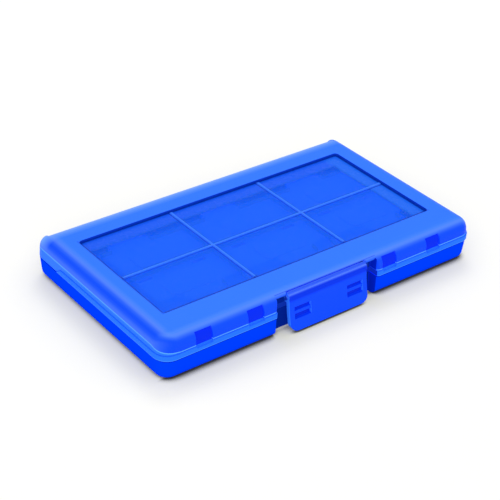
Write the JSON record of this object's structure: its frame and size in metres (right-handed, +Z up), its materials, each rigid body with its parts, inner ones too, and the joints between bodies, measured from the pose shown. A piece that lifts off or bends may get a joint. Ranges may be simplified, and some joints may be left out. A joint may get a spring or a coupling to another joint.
{
  "type": "game card case",
  "caption": "Slim hinged plastic case with a windowed lid, a swing latch, and pocketed trays in both halves for small game cards.",
  "frame": {"origin": "centre of the bounding box on the table, the case closed and lying on its bottom", "axes": "+X along the long side, -Y towards the latch, +Z up through the window"},
  "size_m": [0.1128, 0.0704, 0.0132],
  "materials": {
    "shell_plastic": "satin gloss blue moulding",
    "base_plastic": "satin gloss blue moulding",
    "tray_plastic": "lighter blue, slightly translucent moulding",
    "clear_plastic": "clear blue moulding",
    "pin_steel": "plain steel wire"
  },
  "bodies": {
    "base": {"base_shell": "base_plastic", "base_tray": "tray_plastic", "hinge_pin_left": "pin_steel", "hinge_pin_right": "pin_steel"},
    "lid": {"lid_shell": "shell_plastic", "lid_window": "clear_plastic", "lid_tray": "tray_plastic"},
    "latch": {"latch": "shell_plastic"}
  },
  "joints": [
    {"name": "lid_hinge", "type": "hinge", "parent": "base", "child": "lid", "pos_m": [0, 0.0333, 0.0066], "axis": [-1, 0, 0], "range_deg": [0, 180]},
    {"name": "latch_pivot", "type": "hinge", "parent": "lid", "child": "latch", "pos_m": [0, -0.03166, 0.01083], "axis": [-1, 0, 0], "range_deg": [0, 90]}
  ]
}
